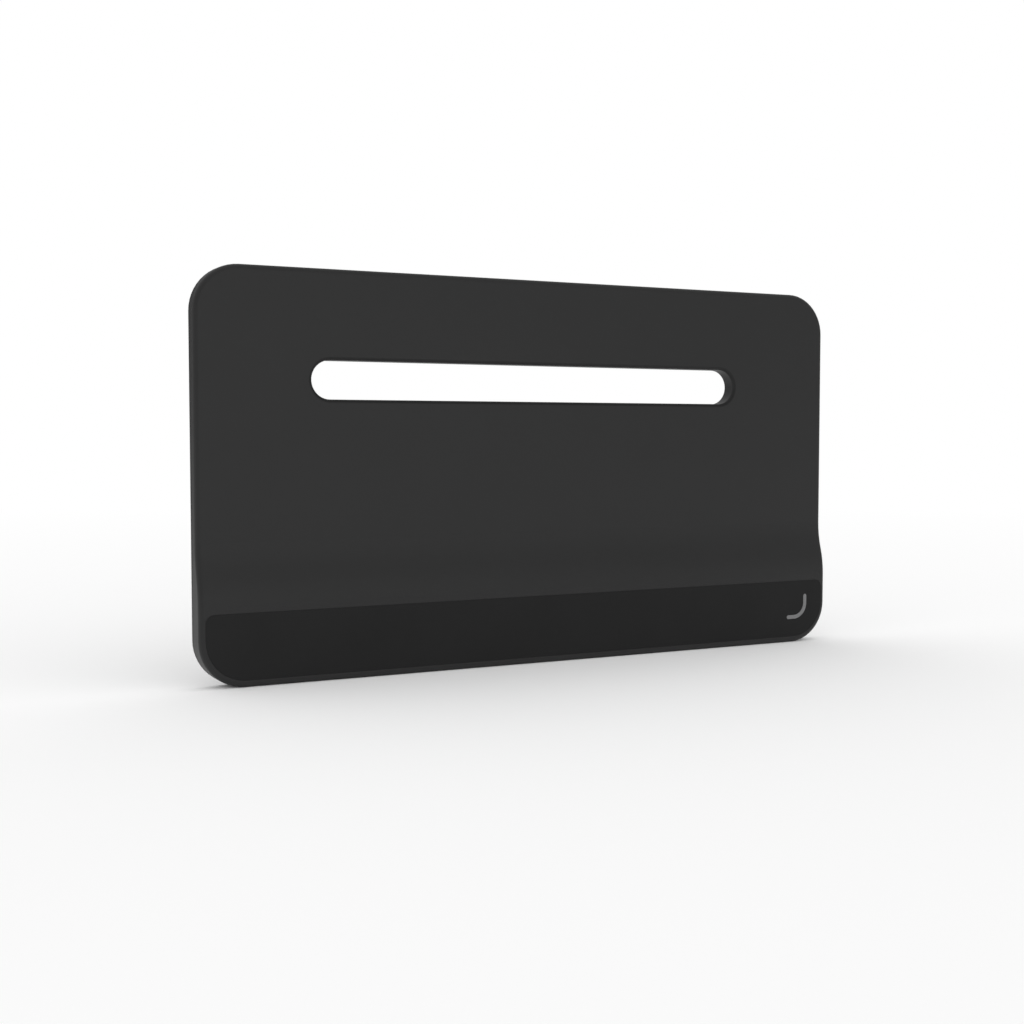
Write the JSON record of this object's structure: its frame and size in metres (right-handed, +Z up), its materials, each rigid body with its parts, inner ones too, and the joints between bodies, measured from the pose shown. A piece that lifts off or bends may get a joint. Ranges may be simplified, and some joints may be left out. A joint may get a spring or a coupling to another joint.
{
  "type": "indoor tv antenna",
  "caption": "Slim upright indoor TV antenna panel with a long round-ended slot, a thicker foot it stands on, a dark fascia strip with a status light mark and a coaxial output jack behind.",
  "frame": {"origin": "centre of the base face that the antenna stands on, at mid width and mid depth of the foot", "axes": "+Z up, +X along the width to the right seen from the front, +Y towards the back, so the front faces -Y"},
  "size_m": [0.234, 0.0192, 0.1266],
  "materials": {
    "case": "fine matt grain",
    "fascia": "smooth satin",
    "diffuser": "smoked translucent",
    "antenna_sheet": "rolled sheet",
    "contact_brass": "bright",
    "board": "solder mask",
    "led": "clear moulded",
    "tinplate": "tinned",
    "chip": "moulded resin",
    "capacitor": "fired ceramic",
    "screw_steel": "black zinc",
    "nickel_plate": "nickel plated",
    "insulator": "moulded"
  },
  "bodies": {
    "root": {"front_shell": "case", "rear_cover": "case", "fascia_strip": "fascia", "light_guide": "diffuser", "radiator_plate": "antenna_sheet", "feed_pin_left": "contact_brass", "feed_pin_right": "contact_brass", "amplifier_board": "board", "status_led": "led", "shield_can": "tinplate", "amplifier_chip": "chip", "band_filter": "chip", "balun_transformer": "chip", "voltage_regulator": "chip", "gain_controller": "chip", "chip_capacitors": "capacitor", "cover_screws": "screw_steel", "board_screws": "screw_steel", "jack_body": "nickel_plate", "jack_insulator": "insulator", "jack_contact": "contact_brass", "jack_washer": "nickel_plate", "jack_nut": "nickel_plate"}
  },
  "joints": []
}
